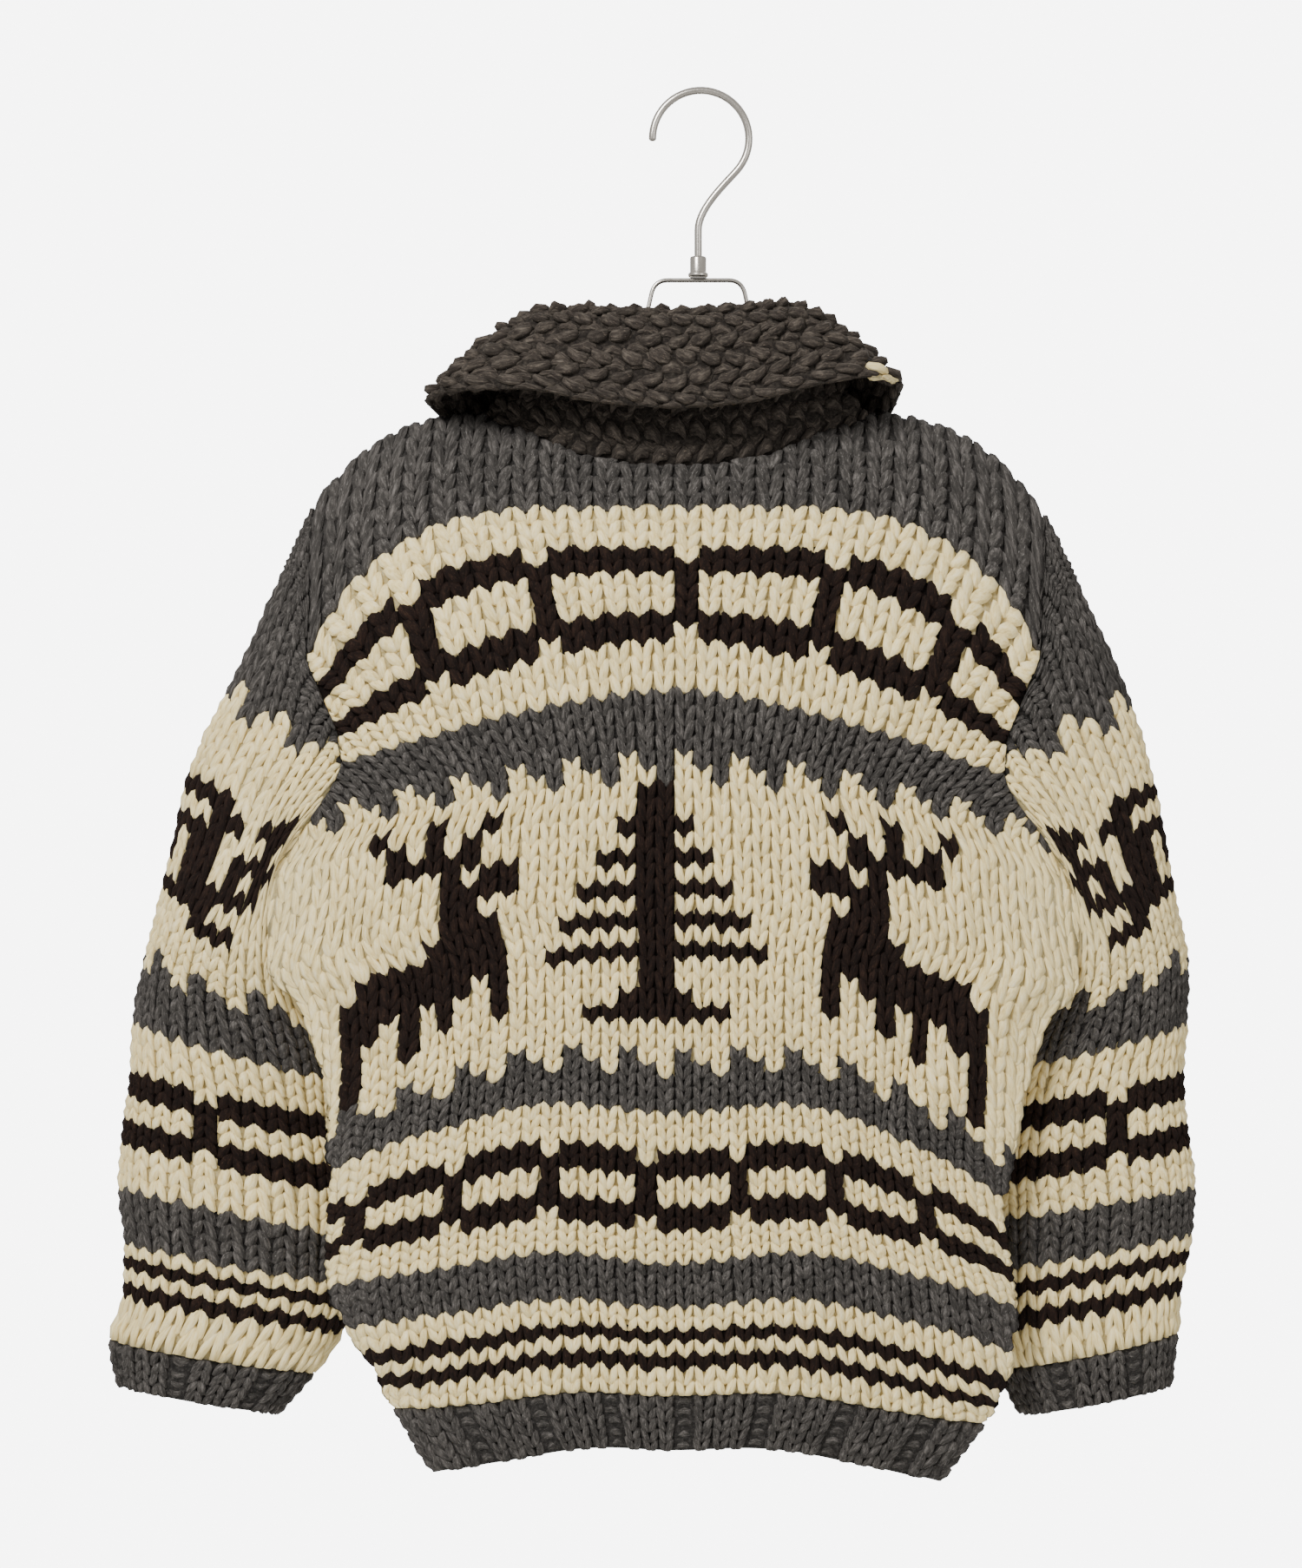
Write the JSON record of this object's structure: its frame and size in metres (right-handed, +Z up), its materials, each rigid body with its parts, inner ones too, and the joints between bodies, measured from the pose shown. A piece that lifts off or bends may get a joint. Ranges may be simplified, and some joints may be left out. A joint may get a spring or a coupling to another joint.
{
  "type": "cardigan and hanger",
  "caption": "Bulky hand-knit wool cardigan with a wide folded collar, banded with figures and chain motifs, hanging from a wire hanger.",
  "frame": {"origin": "underside of the top of the hanger's hook, where it rests on a rail", "axes": "+Z up; the back of the cardigan faces -Y and its fronts face +Y; +X is to the right seen from behind"},
  "size_m": [0.7261, 0.1574, 0.923],
  "materials": {
    "knit": "bulky handspun wool, cream with grey and dark brown figures",
    "grey_knit": "bulky heather grey handspun wool, ribbed",
    "brown_knit": "bulky brown-grey handspun wool in garter stitch",
    "steel": "satin nickel-plated steel wire"
  },
  "bodies": {
    "root": {"back": "knit", "back_hem": "grey_knit", "front_left": "knit", "front_right": "knit", "front_left_hem": "grey_knit", "front_right_hem": "grey_knit", "front_band_left": "brown_knit", "front_band_right": "brown_knit", "sleeve_left": "knit", "sleeve_right": "knit", "cuff_left": "grey_knit", "cuff_right": "grey_knit", "collar": "brown_knit", "hanger_hook": "steel", "hanger_ferrule": "steel", "hanger_frame": "steel"}
  },
  "joints": []
}
